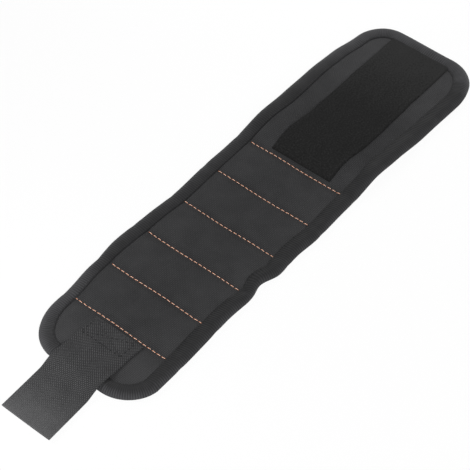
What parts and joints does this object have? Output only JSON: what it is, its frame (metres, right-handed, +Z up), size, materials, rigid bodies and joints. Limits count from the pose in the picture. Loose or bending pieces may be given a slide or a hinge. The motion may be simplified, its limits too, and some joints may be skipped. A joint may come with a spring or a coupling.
{
  "type": "magnetic wristband",
  "caption": "Padded fabric wristband with stitched magnet pockets, a bound edge, a long loop patch at one end and a webbing strap with a hook patch at the other.",
  "frame": {"origin": "centre of the underside of the whole band with its strap lying flat", "axes": "X along the band with the loop end at +X and the strap at -X, Y across it, Z up from the table through the outer side"},
  "size_m": [0.408, 0.094, 0.0066],
  "materials": {
    "panel_cloth": "coarse woven polyester, matt",
    "lining_mesh": "padded spacer mesh, matt",
    "binding_tape": "ribbed folded tape",
    "webbing": "flat woven webbing",
    "loop_pile": "fuzzy loop pile",
    "hook_tape": "moulded hooks",
    "magnet_nickel": "nickel plate",
    "seam_thread": "orange sewing thread"
  },
  "bodies": {
    "strap_tail": {"strap_tail": "webbing", "hook_patch": "hook_tape"},
    "heel": {"heel_outer": "panel_cloth", "heel_lining": "lining_mesh", "heel_binding": "binding_tape", "strap_root": "webbing", "seam_1_thread": "seam_thread"},
    "pocket_1": {"pocket_1_outer": "panel_cloth", "pocket_1_lining": "lining_mesh", "pocket_1_magnet_left": "magnet_nickel", "pocket_1_magnet_right": "magnet_nickel", "pocket_1_binding_left": "binding_tape", "pocket_1_binding_right": "binding_tape", "seam_2_thread": "seam_thread"},
    "pocket_2": {"pocket_2_outer": "panel_cloth", "pocket_2_lining": "lining_mesh", "pocket_2_magnet_left": "magnet_nickel", "pocket_2_magnet_right": "magnet_nickel", "pocket_2_binding_left": "binding_tape", "pocket_2_binding_right": "binding_tape", "seam_3_thread": "seam_thread"},
    "pocket_3": {"pocket_3_outer": "panel_cloth", "pocket_3_lining": "lining_mesh", "pocket_3_magnet_left": "magnet_nickel", "pocket_3_magnet_right": "magnet_nickel", "pocket_3_binding_left": "binding_tape", "pocket_3_binding_right": "binding_tape", "seam_4_thread": "seam_thread"},
    "pocket_4": {"pocket_4_outer": "panel_cloth", "pocket_4_lining": "lining_mesh", "pocket_4_magnet_left": "magnet_nickel", "pocket_4_magnet_right": "magnet_nickel", "pocket_4_binding_left": "binding_tape", "pocket_4_binding_right": "binding_tape", "seam_5_thread": "seam_thread"},
    "pocket_5": {"pocket_5_outer": "panel_cloth", "pocket_5_lining": "lining_mesh", "pocket_5_magnet_left": "magnet_nickel", "pocket_5_magnet_right": "magnet_nickel", "pocket_5_binding_left": "binding_tape", "pocket_5_binding_right": "binding_tape", "seam_6_thread": "seam_thread"},
    "loop_near": {"loop_near_outer": "panel_cloth", "loop_near_lining": "lining_mesh", "loop_near_patch": "loop_pile", "loop_near_binding_left": "binding_tape", "loop_near_binding_right": "binding_tape"},
    "loop_mid": {"loop_mid_outer": "panel_cloth", "loop_mid_lining": "lining_mesh", "loop_mid_patch": "loop_pile", "loop_mid_binding_left": "binding_tape", "loop_mid_binding_right": "binding_tape"},
    "loop_far": {"loop_far_outer": "panel_cloth", "loop_far_lining": "lining_mesh", "loop_far_patch": "loop_pile", "loop_far_binding": "binding_tape"}
  },
  "joints": [
    {"name": "seam_3_fold", "type": "hinge", "parent": "pocket_3", "child": "pocket_2", "pos_m": [-0.0478, 0, 0.0005], "axis": [0, -1, 0], "range_deg": [-20, 35]},
    {"name": "seam_2_fold", "type": "hinge", "parent": "pocket_2", "child": "pocket_1", "pos_m": [-0.0821, 0, 0.0005], "axis": [0, -1, 0], "range_deg": [-20, 35]},
    {"name": "seam_1_fold", "type": "hinge", "parent": "pocket_1", "child": "heel", "pos_m": [-0.1164, 0, 0.0005], "axis": [0, -1, 0], "range_deg": [-20, 35]},
    {"name": "strap_fold", "type": "hinge", "parent": "heel", "child": "strap_tail", "pos_m": [-0.16, 0, 0.0058], "axis": [0, -1, 0], "range_deg": [-120, 33]},
    {"name": "seam_4_fold", "type": "hinge", "parent": "pocket_3", "child": "pocket_4", "pos_m": [-0.0135, 0, 0.0005], "axis": [0, 1, 0], "range_deg": [-20, 35]},
    {"name": "seam_5_fold", "type": "hinge", "parent": "pocket_4", "child": "pocket_5", "pos_m": [0.0208, 0, 0.0005], "axis": [0, 1, 0], "range_deg": [-20, 35]},
    {"name": "seam_6_fold", "type": "hinge", "parent": "pocket_5", "child": "loop_near", "pos_m": [0.0551, 0, 0.0005], "axis": [0, 1, 0], "range_deg": [-20, 35]},
    {"name": "loop_fold_1", "type": "hinge", "parent": "loop_near", "child": "loop_mid", "pos_m": [0.10473, 0, 0.0005], "axis": [0, 1, 0], "range_deg": [-12, 55]},
    {"name": "loop_fold_2", "type": "hinge", "parent": "loop_mid", "child": "loop_far", "pos_m": [0.15437, 0, 0.0005], "axis": [0, 1, 0], "range_deg": [-12, 55]}
  ]
}
